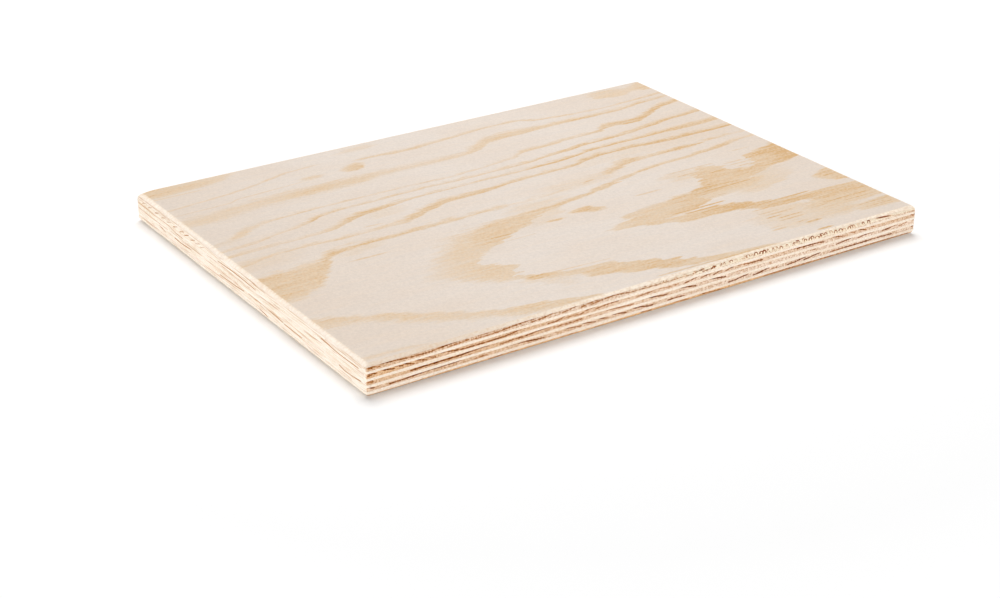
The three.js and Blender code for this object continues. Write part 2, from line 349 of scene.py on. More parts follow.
# Bands of late wood on the face. Each has the softness of its lower and upper side, then
# points along it: X, the Y of its lower and upper side, and its strength. Bands that lie
# close together are kept in different groups.
FACE_BANDS_A = [
    (2.0, 2.5, [(-186, 116, 133, 0.5), (-160, 116.5, 133, 0.48), (-145, 118, 133, 0.42),
                (-132, 121, 133, 0.3), (-122, 126, 133, 0)]),
    (2.0, 3.0, [(133, 123, 128, 0), (140, 115.5, 129, 0.32), (150, 112, 129, 0.36),
                (160, 112, 128, 0.33), (168, 116, 126, 0.27), (173, 115, 128, 0.36),
                (178, 113, 130, 0.46), (186, 112, 131, 0.46)]),
    ([(-186, 5), (-60, 4), (0, 1.6)], 4.5, [
                (-186, 65, 81, 0.28), (-165, 65, 81, 0.32), (-145, 69, 84, 0.3),
                (-120, 71, 87, 0.34), (-100, 71, 86.5, 0.44), (-66, 71.5, 86.5, 0.44),
                (-50, 75, 85.5, 0.33), (-12, 76, 84, 0.36), (5, 76, 83.5, 0.38),
                (15, 77.5, 86, 0.38), (24, 81, 92, 0.4), (33, 86.5, 98.5, 0.44),
                (45, 88, 99.5, 0.47), (60, 88, 99, 0.45), (80, 90, 98, 0.47),
                (100, 90.3, 97, 0.54), (120, 89.6, 96, 0.6), (140, 90.1, 96, 0.6),
                (158, 93.1, 98.6, 0.62), (186, 96.1, 101.6, 0.62)]),
    (0.8, 3.8, [(-186, 25, 29.5, 0.6), (-159, 27.3, 31, 0.5), (-146, 31.5, 35.5, 0.5),
                (-131, 33.7, 37.3, 0.5), (-121, 36.7, 41.2, 0.6), (-112, 41, 45.5, 0.7),
                (-99, 43.2, 47.5, 0.65), (-79, 43.6, 47.6, 0.62), (-59, 44.5, 48.3, 0.6),
                (-39, 44.9, 48.8, 0.6), (-19, 44.2, 48.2, 0.62), (0, 44.6, 48.6, 0.62),
                (20, 44.8, 49, 0.62), (40, 45.4, 50, 0.64), (50, 47.7, 52.5, 0.66),
                (67, 48.3, 53, 0.66), (80, 51.1, 56, 0.64), (100, 51.7, 57, 0.64),
                (120, 53, 58.5, 0.66), (133, 55, 60.7, 0.66), (145, 57.1, 63.8, 0.68),
                (153, 59.1, 65.5, 0.68), (167, 59.6, 66, 0.64), (186, 61.6, 67.5, 0.66)]),
    (1.0, 4.0, [(-186, 1, 7, 0.55), (-170, 5, 10.5, 0.52), (-158, 7.5, 12.4, 0.52),
                (-140, 8, 12.4, 0.5), (-118, 6.2, 10.8, 0.48), (-100, 6.6, 10.8, 0.45),
                (-86, 6.9, 11.8, 0.47), (-76, 6.5, 14, 0.5), (-68, 8.9, 18.5, 0.55),
                (-59, 12.9, 22.5, 0.58), (-49, 16.4, 26.2, 0.62), (-41, 19.4, 28, 0.6),
                (-28, 19.7, 27.4, 0.58), (-14, 20.2, 27.4, 0.64), (-4, 21.9, 27.8, 0.6),
                (8, 24, 29.4, 0.62), (25, 24.9, 29.8, 0.62), (45, 25.2, 30.4, 0.62),
                (58, 25.7, 32, 0.66), (67, 29.2, 35.5, 0.74), (80, 31.4, 37.2, 0.78),
                (98, 31.6, 37.4, 0.8), (116, 30.4, 36.6, 0.82), (130, 28.9, 35.6, 0.84),
                (150, 29.3, 35.6, 0.85), (168, 28.9, 35, 0.85), (186, 29.7, 36, 0.85)]),
    ([(-104, 6), (-80, 5), (-60, 1.2)], [(-104, 10), (-80, 14), (-60, 15), (-45, 8), (-34, 2.4)], [
                (186, 6.8, 11, 0.5), (173, 6.8, 11, 0.5), (160, 4.8, 10, 0.55),
                (152, 2.5, 8, 0.6), (140, 0.8, 6, 0.6), (122, -0.8, 4, 0.52),
                (105, -1.2, 3, 0.48), (92, -2.4, 2, 0.5), (80, -4.6, 0.5, 0.5),
                (70, -7.2, -2, 0.52), (60, -10, -4.5, 0.55), (52, -13, -7, 0.55),
                (38, -16.5, -10.5, 0.58), (24, -18.5, -12.5, 0.58), (14, -20.5, -14, 0.56),
                (8, -22, -15, 0.52), (-2, -23.5, -15.5, 0.5), (-10, -27, -16, 0.46),
                (-17, -33.3, -16.3, 0.46), (-28, -36.5, -17, 0.48), (-33, -39, -17.5, 0.52),
                (-47, -45, -16.5, 0.5), (-50, -48, -16.5, 0.48), (-62, -52.5, -19, 0.4),
                (-69, -57.5, -21, 0.38), (-71.5, -63, -22, 0.4), (-73, -72, -24, 0.4),
                (-80, -72, -28, 0.36), (-86, -72, -34, 0.3), (-92, -72, -42, 0.24),
                (-98, -71, -50, 0.18), (-106, -70, -56, 0.1), (-114, -70, -60, 0)]),
    (1.6, 2.6, [(14, -65, -63.8, 0), (20, -67, -61, 0.36), (28, -69, -57.5, 0.44),
                (33, -69, -52.5, 0.46), (42, -69, -48.5, 0.44), (55, -69, -47, 0.42),
                (70, -69, -46.6, 0.48), (80, -66, -43.4, 0.6), (84, -60, -44, 0.56),
                (90, -55, -41, 0.64), (100, -53, -38, 0.62), (104, -52.5, -33, 0.6),
                (108, -52, -19, 0.52), (115, -52, -15.5, 0.5), (124, -51.5, -15.8, 0.46),
                (130, -50, -22, 0.5), (137, -47, -30.5, 0.57), (144, -43.5, -32, 0.57),
                (149, -41.5, -28, 0.55), (153, -40.5, -16, 0.5), (158, -39.5, -12.5, 0.5),
                (165, -38.5, -11.5, 0.58), (172, -37.5, -10.5, 0.7), (178, -36, -8.5, 0.82),
                (186, -34.5, -5.5, 0.85)]),
    (2.0, 1.6, [(126, -105, -98, 0), (132, -106.5, -96.5, 0.38), (142, -107.5, -92, 0.42),
                (155, -108.5, -90, 0.44), (165, -109, -90, 0.46), (186, -108.5, -90, 0.46)]),
    ([(-186, 7), (-100, 6), (-40, 3)], [(-186, 4), (-130, 3), (-80, 1.6)], [
                (-186, -88.5, -71, 0.48), (-169, -90, -75.5, 0.48), (-156, -94, -83, 0.46),
                (-143, -104, -87.5, 0.44), (-131, -112, -95.5, 0.44), (-119, -117, -102, 0.4),
                (-106, -122, -109.5, 0.36), (-93, -128, -115, 0.4), (-79, -131, -117.3, 0.5),
                (-61, -133, -121.5, 0.5), (-44, -133, -126.5, 0.45), (-34, -133, -130, 0)]),
]
FACE_BANDS_B = [
    (0.8, 1.6, [(-186, 93.3, 95.8, 0.35), (-160, 96.8, 99.3, 0.4), (-140, 98.8, 101.8, 0.4),
                (-122, 102.8, 105.5, 0.4), (-108, 106.8, 110.3, 0.4), (-97, 110.3, 113.2, 0.4),
                (-82, 111.8, 114.2, 0.3), (-70, 113, 114.2, 0)]),
    (1.0, 2.4, [(-57, 106, 107, 0), (-48, 105, 109.5, 0.5), (-36, 105.2, 109.5, 0.52),
                (-25, 103, 108.3, 0.5), (-9, 103, 108, 0.52), (4, 105, 109.5, 0.4),
                (23, 106.8, 111.5, 0.4), (40, 109.3, 113.5, 0.42), (55, 110.3, 114, 0.44),
                (70, 109.3, 113.5, 0.44), (83, 103.3, 107.5, 0.46), (100, 101.3, 104.5, 0.46),
                (120, 99.6, 102.6, 0.52), (140, 99.6, 102.6, 0.56), (160, 100.8, 104, 0.6),
                (186, 102.8, 106.5, 0.62)]),
    ([(-186, 4), (-150, 4), (-130, 1)], 3.4, [
                (-186, 33, 39, 0.36), (-172, 34, 41.5, 0.36), (-163, 37, 48, 0.36),
                (-155, 43, 53, 0.36), (-143, 49, 55, 0.42), (-131, 50.8, 54.5, 0.48),
                (-106, 52.3, 55.6, 0.52), (-70, 52.8, 56, 0.5), (-36, 52.2, 55.6, 0.46),
                (-18, 51.3, 54.6, 0.52), (0, 52.8, 56, 0.46), (17, 54.8, 58.6, 0.44),
                (33, 56.8, 61, 0.42), (41, 61.6, 67.5, 0.44), (67, 62.2, 68, 0.48),
                (76, 64.2, 69.5, 0.46), (90, 64.8, 70, 0.46), (104, 64.8, 70.5, 0.5),
                (111, 68.2, 77, 0.6), (118, 69.2, 78, 0.64), (128, 67, 76.5, 0.64),
                (135, 66.8, 76, 0.64), (142, 69.2, 77, 0.66), (151, 73.2, 81, 0.68),
                (160, 78.2, 86, 0.72), (170, 81.8, 89, 0.72), (186, 84.2, 91, 0.72)]),
    (0.9, 3.8, [(-186, 16.3, 21.5, 0.58), (-169, 17.8, 22.6, 0.48), (-150, 18.4, 22.6, 0.44),
                (-126, 19.1, 24, 0.45), (-114, 20.2, 27.5, 0.58), (-107, 23.1, 30.5, 0.6),
                (-99, 27.1, 34.5, 0.66), (-88, 29.8, 37, 0.68), (-76, 31.3, 37.5, 0.68),
                (-62, 33.9, 39, 0.66), (-50, 35.4, 39.5, 0.64), (-20, 35.9, 39, 0.64),
                (0, 36.2, 40.2, 0.66), (25, 35.9, 40.1, 0.66), (45, 36.3, 41.2, 0.76),
                (52, 36.9, 42, 0.8), (68, 38.9, 44, 0.78), (76, 41, 46, 0.7),
                (100, 42.1, 47.4, 0.68), (125, 41.9, 48, 0.68), (140, 42.1, 48.8, 0.67),
                (155, 41.2, 49.5, 0.64), (170, 41.7, 49.5, 0.62), (186, 42.7, 50, 0.62)]),
    ([(-186, 6), (-150, 5), (-134, 3), (-120, 2.4)], 6.0, [
                (-186, -51, -12, 0.58), (-171, -50.5, -11, 0.54), (-167, -46, -10.5, 0.53),
                (-157, -43.5, -9.5, 0.52), (-150, -36, -8.5, 0.5), (-144, -27, -9, 0.5),
                (-137, -15, -4, 0.6), (-131, -10.2, -1, 0.74), (-120, -8.8, 0, 0.78),
                (-112, -8.2, 0, 0.72), (-87, -7.5, 0, 0.66), (-62, -6.8, 1, 0.64),
                (-36, -5.5, 1.6, 0.6), (-10, -5.2, -1, 0.5), (8, -4.6, -0.5, 0.5),
                (30, -2.6, 1.5, 0.53), (45, -0.8, 4.2, 0.6), (57, 1.4, 7.4, 0.6),
                (68, 4.2, 12.5, 0.55), (78, 7.4, 19.5, 0.58), (90, 11.9, 20.5, 0.6),
                (104, 12.6, 20, 0.68), (122, 12.1, 20, 0.7), (140, 12.6, 19.5, 0.7),
                (153, 15.4, 21, 0.74), (168, 16.4, 21, 0.75), (186, 16.2, 20.5, 0.75)]),
    ([(-104, 7), (-78, 4.5), (-62, 1.8)], 1.3, [
                (-112, -72, -69, 0), (-97, -74, -62, 0.22), (-92, -80, -60, 0.3),
                (-86, -84, -60, 0.33), (-77, -89, -60, 0.38), (-73, -91, -62, 0.38),
                (-70, -90.5, -64.5, 0.38), (-66, -92.5, -68, 0.4), (-63.5, -94, -72, 0.46),
                (-62, -95, -88, 0.56), (-58, -97, -91, 0.52), (-50, -99.5, -92, 0.48),
                (-40, -103, -94.5, 0.5), (-28, -108, -96, 0.52), (-19, -112, -97, 0.54),
                (-9, -116.5, -98.5, 0.55), (-4, -118, -102, 0.56), (2, -120, -106.5, 0.62),
                (10, -122.5, -108, 0.66), (18, -125.5, -111, 0.68), (25, -127.5, -114, 0.66),
                (28, -128, -117, 0.62), (35, -129, -121, 0.58), (50, -131, -123.5, 0.54),
                (80, -133, -127.3, 0.45), (88, -133, -130, 0)]),
    (1.4, 1.8, [(16, -65.5, -64, 0), (22, -67.5, -62, 0.36), (30, -70, -63, 0.46),
                (38, -72, -66, 0.5), (48, -74, -67, 0.46), (52, -77.5, -68, 0.46),
                (62, -79.7, -69, 0.47), (80, -79.8, -68, 0.52), (90, -81, -69, 0.58),
                (95, -82.3, -69.6, 0.68), (102, -83.7, -71.6, 0.68), (107, -86.7, -74, 0.66),
                (112, -89, -76.4, 0.66), (120, -90, -79.5, 0.66), (138, -90.5, -81.5, 0.64),
                (145, -93, -81.8, 0.58), (155, -97, -82, 0.56), (170, -99, -82.6, 0.56),
                (186, -100, -86, 0.56)]),
    (2.0, 2.0, [(146, -117, -111, 0), (154, -121, -110.5, 0.4), (170, -123, -110.5, 0.5),
                (186, -124, -109.5, 0.5)]),
    (2.5, 2.0, [(-186, -128.5, -122.6, 0.3), (-170, -128.5, -123, 0.28),
                (-156, -130, -124.5, 0.3), (-145, -131, -128, 0.2), (-138, -132, -130, 0)]),
]

# Faint hazes of tan between the bands
FACE_HAZES = [
    (5, 6, [(20, 20, 46, 0), (60, 18, 46, 0.09), (90, 18, 46, 0.11), (130, 18, 46, 0.1),
            (186, 18, 46, 0.06)]),
    (4, 4, [(88, -113, -94, 0), (96, -118, -88, 0.15), (112, -121, -86, 0.24),
            (130, -120, -88, 0.26), (150, -120, -96, 0.38), (164, -118, -102, 0.1)]),
    (3, 4, [(106, -66, -52, 0), (118, -66, -48, 0.26), (134, -65, -43, 0.3),
            (146, -62, -40, 0.22), (156, -56, -36, 0.14), (166, -50, -38, 0)]),
    (3, 3, [(-134, -16, -6, 0), (-122, -17, -5, 0.18), (-110, -15, -5, 0.18), (-98, -12, -5, 0)]),
    (3, 4, [(-96, 20, 32, 0), (-86, 20, 34, 0.14), (-72, 20, 34, 0.12), (-60, 22, 34, 0)]),
    (4, 4, [(84, -30, -15, 0), (92, -31, -13, 0.2), (106, -30, -13, 0.22), (116, -28, -15, 0)]),
    (4, 4, [(-24, -40, -4, 0), (-12, -38, -4, 0.17), (4, -32, -4, 0.17), (18, -18, -5, 0.15),
            (30, -14, -6, 0)]),
    (4, 5, [(12, -5, 9, 0), (26, -5, 10, 0.16), (60, -3, 11, 0.2), (78, 0, 12, 0)]),
    (5, 5, [(-186, -7, 14, 0.16), (-160, -6, 14, 0.15), (-136, 0, 12, 0)]),
    (4, 4, [(-70, -98, -88, 0), (-62, -102, -90, 0.18), (-46, -112, -96, 0.2),
            (-34, -113, -100, 0)]),
]

# Spots, dashes and crisp lines over those bands
FACE_BANDS_C = [
    (0.5, 0.7, [(-184, 85.3, 87, 0.3), (-146, 86.3, 88, 0.35), (-141, 89.3, 91, 0.3),
                (-119, 90.8, 92.6, 0.35), (-96, 93, 94.4, 0.2)]),
    (2.6, 3.0, [(-70, 95, 99, 0), (-65, 91.5, 101, 0.5), (-58, 91, 104, 0.62),
                (-53, 93, 104.5, 0.6), (-50, 97, 103, 0.2), (-47, 101, 103, 0)]),
    (2.6, 3.0, [(-99, 96, 98, 0), (-93, 93, 100.5, 0.38), (-83, 93, 100.5, 0.38),
                (-76, 97, 99, 0)]),
    (3.0, 3.0, [(-62, 120, 124, 0), (-48, 119, 127.5, 0.22), (-34, 119, 128, 0.22),
                (-24, 121, 126, 0)]),
    (0.6, 0.8, [(-182, 113.5, 115.5, 0.3), (-156, 113.5, 115.5, 0.3), (-148, 114, 115, 0)]),
    (1.4, 1.8, [(9, -33, -30, 0), (13, -34.5, -28.8, 0.5), (18, -36, -27.8, 0.6),
                (23, -38, -27.6, 0.64), (27, -38.8, -30, 0.62), (33, -39, -35.5, 0.2)]),
    (0.9, 1.2, [(-13, -35, -34.5, 0), (-8, -37, -33.5, 0.6), (-1, -37.5, -33.8, 0.65),
                (6, -36.5, -35.5, 0)]),
    (1.5, 2.0, [(84, -60, -51, 0.36), (100, -60, -50, 0.45), (125, -59, -48, 0.45),
                (140, -52, -45, 0.4), (147, -47, -44, 0)]),
    (1.4, 1.8, [(163, -69, -66, 0), (168, -74, -63, 0.48), (174, -77, -60, 0.58),
                (186, -80, -57, 0.62)]),
    (0.8, 1.0, [(-68, -81, -69, 0.44), (-62, -79.5, -70.5, 0.48), (-57, -77, -73, 0.44),
                (-53, -75.5, -74.5, 0)]),
    (0.5, 0.6, [(-66, -92.4, -91.6, 0), (-61, -93.4, -90.8, 0.95), (-50, -93.4, -90.9, 0.9),
                (-44, -93.9, -92.2, 0.5), (-28, -94.5, -93.2, 0.5), (-10, -95.6, -94.6, 0.3)]),
    (0.5, 0.6, [(-52, -38.4, -37.6, 0), (-47, -39.2, -36.8, 0.9), (-36, -39, -36.8, 0.85),
                (-30, -38.2, -37.4, 0)]),
    (0.5, 0.5, [(-47, -45.6, -45, 0), (-42, -45.8, -44.6, 0.35), (-24, -45.8, -44.6, 0.3)]),
    (0.5, 0.5, [(-134, -22.2, -21.6, 0), (-124, -23, -21, 0.55), (-110, -23, -21, 0.55),
                (-102, -22.2, -21.6, 0)]),
    (0.5, 0.6, [(-102, 14.4, 15, 0), (-98, 13.8, 15.6, 0.5), (-90, 13.4, 15, 0.4),
                (-86, 13.6, 14.2, 0)]),
    (0.5, 0.6, [(150, -36.6, -35.8, 0.4), (156, -36.7, -35, 0.95), (176, -35.9, -34.2, 0.95),
                (184, -34.6, -33.6, 0.6)]),
    (0.6, 0.6, [(88, -16, -15.4, 0), (93, -16.4, -14.8, 0.5), (112, -16.2, -14.8, 0.6),
                (126, -16.4, -15, 0.6), (132, -16.4, -15.6, 0)]),
    (0.5, 0.6, [(148, -6.2, -5.8, 0), (155, -6.8, -5.4, 0.5), (165, -6.6, -5.4, 0.4)]),
    (0.5, 0.6, [(76, 13.5, 14.2, 0), (82, 12.7, 14.2, 0.7), (92, 12.8, 14, 0.4)]),
    (0.5, 0.6, [(52, 37, 39, 0.9), (60, 37.8, 39.6, 1.0), (72, 39.8, 41.4, 0.9),
                (78, 41.4, 42.4, 0.4)]),
    (0.5, 0.7, [(112, 30.2, 31.6, 0.8), (130, 28.9, 30.6, 1.0), (150, 29.2, 31, 1.1),
                (168, 28.9, 30.6, 1.1), (186, 29.7, 31.4, 1.1)]),
    (0.5, 0.6, [(0, -128.6, -127, 0.7), (30, -129.3, -127.6, 0.8), (60, -130, -128, 0.8),
                (80, -130, -128.6, 0.5)]),
    (0.5, 0.6, [(112, -128.4, -127.4, 0), (116, -128.8, -126.4, 0.8), (122, -128.8, -126.4, 0.8),
                (126, -128.6, -127.6, 0)]),
]

# Short streaks over the tan parts at the right: X from and to, Y, thickness and strength
FACE_DASHES = [
    (54, 100, -65.8, 1.8, 1.1),
    (61, 94, -69.2, 1.9, 1.1),
    (70, 97, -72.6, 1.6, 1.1),
    (105, 152, -81.2, 1.9, 1.1),
    (120, 160, -85.6, 1.6, 1.1),
    (90, 136, -48.6, 1.7, 1.1),
    (96, 130, -45.2, 1.6, 1.05),
    (84, 110, -57.4, 1.5, 0.77),
    (92, 118, -22, 1.7, 0.7),
    (112, 133, -27.4, 1.7, 1.05),
    (130, 152, -20.5, 1.5, 0.56),
    (132, 154, -24, 1.5, 0.56),
    (136, 152, -28, 1.5, 0.56),
    (96, 114, -87.5, 1.5, 0.52),
    (94, 119, -93, 1.7, 0.57),
    (98, 127, -96.4, 1.7, 0.69),
    (96, 116, -99.6, 1.8, 0.75),
    (102, 128, -103, 1.9, 0.75),
    (100, 124, -106.4, 1.9, 0.75),
    (104, 120, -109.8, 1.6, 0.57),
    (87, 104, -111.6, 1.6, 0.46),
    (89, 105, -114.8, 2.2, 0.69),
    (110, 130, -116.4, 2.5, 0.75),
    (106, 122, -113, 1.7, 0.57),
    (128, 150, -95.4, 1.7, 0.52),
    (140, 182, -99.4, 1.9, 0.8),
    (150, 186, -103.6, 1.9, 0.8),
    (128, 150, -101.6, 1.7, 0.69),
    (152, 186, -113.4, 1.9, 0.8),
    (156, 184, -118, 2.0, 0.8),
    (54, 80, -31.8, 2.1, 0.35),
]


def softness(soft, x):
    """A side's softness, either one number or listed (X, softness) points."""
    if isinstance(soft, list):
        return np.interp(x, [s[0] for s in soft], [s[1] for s in soft])
    return soft


def band_values(bands, x, y):
    """How far inside its lower and upper side the best band lies, and its strength."""
    values = np.zeros((len(x), 3))
    best = np.full(len(x), -9.0)
    for soft_low, soft_high, points in bands:
        along, low, high, strong = np.array(sorted(points), float).T
        past = np.clip(np.maximum(along[0] - x, x - along[-1]), 0, None) / 2
        inside = np.stack([
            np.clip((y - np.interp(x, along, low)) / softness(soft_low, x) - past, -3, 1.5),
            np.clip((np.interp(x, along, high) - y) / softness(soft_high, x) - past, -3, 1.5),
            np.interp(x, along, strong),
        ], axis=1)
        fit = inside[:, :2].min(axis=1)
        better = fit > best
        values[better] = inside[better]
        best = np.maximum(best, fit)
    return values


def dash_bands():
    """The short streaks as bands, pointed at both ends."""
    bands = []
    for start, end, level, thick, strong in FACE_DASHES:
        half = thick / 2
        bands.append((0.5, 0.5, [(start, level, level, 0), (start + 5, level - half, level + half,
                                                             strong),
                                 (end - 6, level - half, level + half, strong),
                                 (end, level, level, 0)]))
    return bands


def face_figure(x, y):
    """The groups of bands, feathered along the grain, and a ring number without rings."""
    drift = 5 * uneven(x, y, 24, 2.1, 31) + 4 * uneven(x, y, 9, 1.4, 32)
    drift *= np.interp(x, [-150, -90, 20], [0.4, 0.6, 1.1]) * np.interp(y, [-8, 22], [1, 0.35])
    stronger = np.interp(x, [-60, 10, 90], [1.08, 1.08, 1.18])
    groups = [FACE_BANDS_A, FACE_BANDS_B, FACE_BANDS_C, dash_bands(), FACE_HAZES]
    shares = [1, 1, 0.35, 0.25, 0.8]
    values = [band_values(b, x + share * drift, y) for b, share in zip(groups, shares)]
    for group in values:
        group[:, 2] *= stronger
    return np.full(len(x), 0.3), values


def back_figure(x, y):
    """The back veneer: one tall arch of rings, off the middle of the sheet."""
    sway = 14 * np.sin(x / 95) + 4 * np.sin(x / 31 + 1)
    along = np.where(x > -60, (x + 60) * 0.13, (x + 60) * 0.04)
    ring = 3.2 + np.hypot(y - 18 - sway, along) / 11 + 0.3 * np.sin(y / 17 + x / 120)
    empty = np.tile([-3.0, -3.0, 0.0], (len(x), 1))
    return ring, [empty] * len(BAND_GROUPS)


# ---------------------------------------------------------------- making the blanks

def start_piece(name):
    """Names the primitive that was just added."""
    piece = bpy.context.object
    piece.name = name
    piece.data.name = name
    return piece


def pick(kind, chosen):
    """Selects the edges of the open mesh that the given test accepts."""
    mesh = bmesh.from_edit_mesh(bpy.context.object.data)
    bpy.context.tool_settings.mesh_select_mode = (False, True, False)
    for face in mesh.faces:
        face.select = False
    for edge in mesh.edges:
        edge.select = False
    for vert in mesh.verts:
        vert.select = False
    for edge in mesh.edges:
        if (kind != "open" or len(edge.link_faces) < 2) and chosen(edge):
            edge.select = True
    mesh.select_flush_mode()
    bmesh.update_edit_mesh(bpy.context.object.data)


def close_off():
    """Closes the selected loop with a flat land and a fan to its middle."""
    bpy.ops.mesh.extrude_edges_move()
    land = (1 - 2 * HIDDEN_INSET / LENGTH, 1 - 2 * HIDDEN_INSET / WIDTH, 1)
    bpy.ops.transform.resize(value=land, center_override=(0, 0, 0))
    bpy.ops.mesh.extrude_edges_move()
    bpy.ops.mesh.merge(type="CENTER")


def inner_blank(name, rows):
    """A ply as a straight-walled blank: rows of half-millimetre points round the outline."""
    bpy.ops.object.select_all(action="DESELECT")
    bpy.ops.mesh.primitive_plane_add(size=1)
    piece = start_piece(name)
    bpy.ops.object.mode_set(mode="EDIT")
    bpy.ops.transform.resize(value=(LENGTH * MM, WIDTH * MM, 1), center_override=(0, 0, 0))
    bpy.ops.mesh.select_all(action="SELECT")
    bpy.ops.mesh.bevel(offset=CORNER * MM, affect="VERTICES", segments=4, profile=0.5)
    bpy.ops.mesh.select_all(action="SELECT")
    bpy.ops.mesh.delete(type="ONLY_FACE")
    pick("any", lambda edge: edge.calc_length() > 0.3)
    bpy.ops.mesh.subdivide(number_cuts=20)
    pick("any", lambda edge: edge.calc_length() > 0.2)
    bpy.ops.mesh.subdivide(number_cuts=14)
    pick("any", lambda edge: edge.calc_length() > 0.005)
    bpy.ops.mesh.subdivide(number_cuts=34)
    pick("any", lambda edge: True)
    for _ in range(rows):
        bpy.ops.mesh.extrude_edges_move(TRANSFORM_OT_translate={"value": (0, 0, MM)})
    close_off()
    pick("open", lambda edge: max(v.co.z for v in edge.verts) < 0.1 * MM)
    close_off()
    bpy.ops.mesh.select_all(action="SELECT")
    bpy.ops.mesh.normals_make_consistent(inside=False)
    bpy.ops.object.mode_set(mode="OBJECT")
    return piece


def outer_blank(name, rows):
    """A face veneer as a blank: a fine grid with a wall turned down round it."""
    bpy.ops.object.select_all(action="DESELECT")
    bpy.ops.mesh.primitive_grid_add(x_subdivisions=150, y_subdivisions=380, size=1)
    piece = start_piece(name)
    bpy.ops.object.mode_set(mode="EDIT")
    bpy.ops.transform.resize(value=(LENGTH * MM, WIDTH * MM, 1), center_override=(0, 0, 0))
    mesh = bmesh.from_edit_mesh(piece.data)
    for face in mesh.faces:
        face.select = False
    for vert in mesh.verts:
        vert.select = len(vert.link_edges) == 2
    bmesh.update_edit_mesh(piece.data)
    bpy.context.tool_settings.mesh_select_mode = (True, False, False)
    bpy.ops.mesh.bevel(offset=CORNER * MM, affect="VERTICES", segments=3, profile=0.5)
    pick("open", lambda edge: True)
    for _ in range(rows):
        bpy.ops.mesh.extrude_edges_move(TRANSFORM_OT_translate={"value": (0, 0, -MM)})
    close_off()
    bpy.ops.mesh.select_all(action="SELECT")
    bpy.ops.mesh.normals_make_consistent(inside=False)
    bpy.ops.object.mode_set(mode="OBJECT")
    return piece


def read_points(piece):
    """A piece's points in millimetres."""
    points = np.empty(len(piece.data.vertices) * 3)
    piece.data.vertices.foreach_get("co", points)
    return points.reshape(-1, 3) / MM


def write_points(piece, points):
    """Moves a piece's points to the given places, in millimetres."""
    piece.data.vertices.foreach_set("co", (points * MM).ravel())
    piece.data.update()


def write_value(piece, name, values):
    """Keeps one number for each point, for the finish to read."""
    layer = piece.data.attributes.new(name, "FLOAT", "POINT")
    layer.data.foreach_set("value", np.asarray(values, float))


def write_vector(piece, name, values):
    """Keeps three numbers for each point, for the finish to read."""
    layer = piece.data.attributes.new(name, "FLOAT_VECTOR", "POINT")
    layer.data.foreach_set("vector", np.ravel(values))


def turn_outward(piece):
    """Points the faces outwards once the shape is final, and smooths the shallow angles."""
    bpy.ops.object.select_all(action="DESELECT")
    piece.select_set(True)
    bpy.context.view_layer.objects.active = piece
    bpy.ops.object.mode_set(mode="EDIT")
    bpy.ops.mesh.select_all(action="SELECT")
    bpy.ops.mesh.normals_make_consistent(inside=False)
    bpy.ops.object.mode_set(mode="OBJECT")
    bpy.ops.object.shade_smooth_by_angle(angle=math.radians(50))


# ---------------------------------------------------------------- relief of the edges

# Stretches of torn fibres: X from and to, the spots' spacing and the least depth of one
TORN_STRETCHES = [
    (-22, 38, 7, 0.2),
    (38, 66, 2.9, 0.25),
    (67, 86, 3.1, 0.6),
    (90, 111, 2.6, 0.5),
    (112, 132, 3.4, 0.15),
    (132, 139, 2.6, 0.6),
    (139, 150, 4.2, 0.2),
]


def torn_spots():
    """Each spot's place along the edge, height, reach along and up, and depth."""
    chance = np.random.default_rng(11)
    spots = []
    for start, end, apart, least in TORN_STRETCHES:
        for place in np.arange(start, end, apart):
            spots.append((place + chance.uniform(-1.0, 1.0), chance.uniform(15.9, 16.7),
                          chance.uniform(0.55, 1.25), chance.uniform(0.55, 1.0),
                          chance.uniform(least, 1.1)))
    return spots


def torn_fibres(x, z):
    """Small arched pits torn in the upper cross ply on the right, with a tuft in each."""
    torn = np.zeros(len(x))
    tuft = np.zeros(len(x))
    for place, height, reach_x, reach_z, depth in torn_spots():
        across = (x - place - (0.9 * depth - 0.2) * (z - height)) / reach_x
        above = (z - height) / reach_z
        from_middle = np.hypot(across, above)
        arch = np.exp(-((from_middle - 1.05) / 0.34) ** 2) * np.clip(above + 1.1, 0, 1)
        arch *= 1 - 0.3 * np.clip(above, 0, 1)
        torn = np.maximum(torn, 1.4 * depth * arch)
        tuft = np.maximum(tuft, 1.3 * depth * np.exp(-(from_middle / 1.7) ** 4))
    torn = np.clip(torn, 0, 1)
    return torn, np.clip(tuft, 0, 1) * (1 - torn)


def gouge(x, z):
    """One long splinter gone near the right end, and a nick near the left."""
    line = 17.0 - (x - 154) * 0.06
    middle = np.exp(-((x - 160) / 6) ** 4)
    splinter = middle * np.exp(-((z - line) / 0.5) ** 2)
    nick = bump_at(x, z, -127 + 0.4 * (17 - z), 16.7, 0.7, 0.5)
    return splinter, nick


def corner_loss(x, y, reach):
    """Splinters gone from an upright corner, most of all the front left one."""
    from_corner = np.hypot(np.abs(x) - LENGTH / 2, np.abs(y) - WIDTH / 2)
    share = np.where((x < 0) & (y < 0), 1, 0.35)
    return share * np.exp(-(from_corner / reach) ** 2)


def cross_depth(name, x, y, z, part):
    """How far a cross ply stands back from the full edge."""
    seed = int(name[-1])
    end = np.abs(outward(x, y)[1])
    along = x + y
    shoulder = (2 * part - 1) ** 4
    fibre = uneven(along, z, 0.9, 0.6, 80 + seed)
    patch = uneven(along, z, 6, 1.5, 90 + seed)
    depth = 0.09 + 0.06 * shoulder + 0.05 * fibre * end + 0.04 * patch
    depth += 0.4 * corner_loss(x, y, 1.7) * (0.7 + 0.5 * patch)
    return np.clip(depth, 0.01, None)


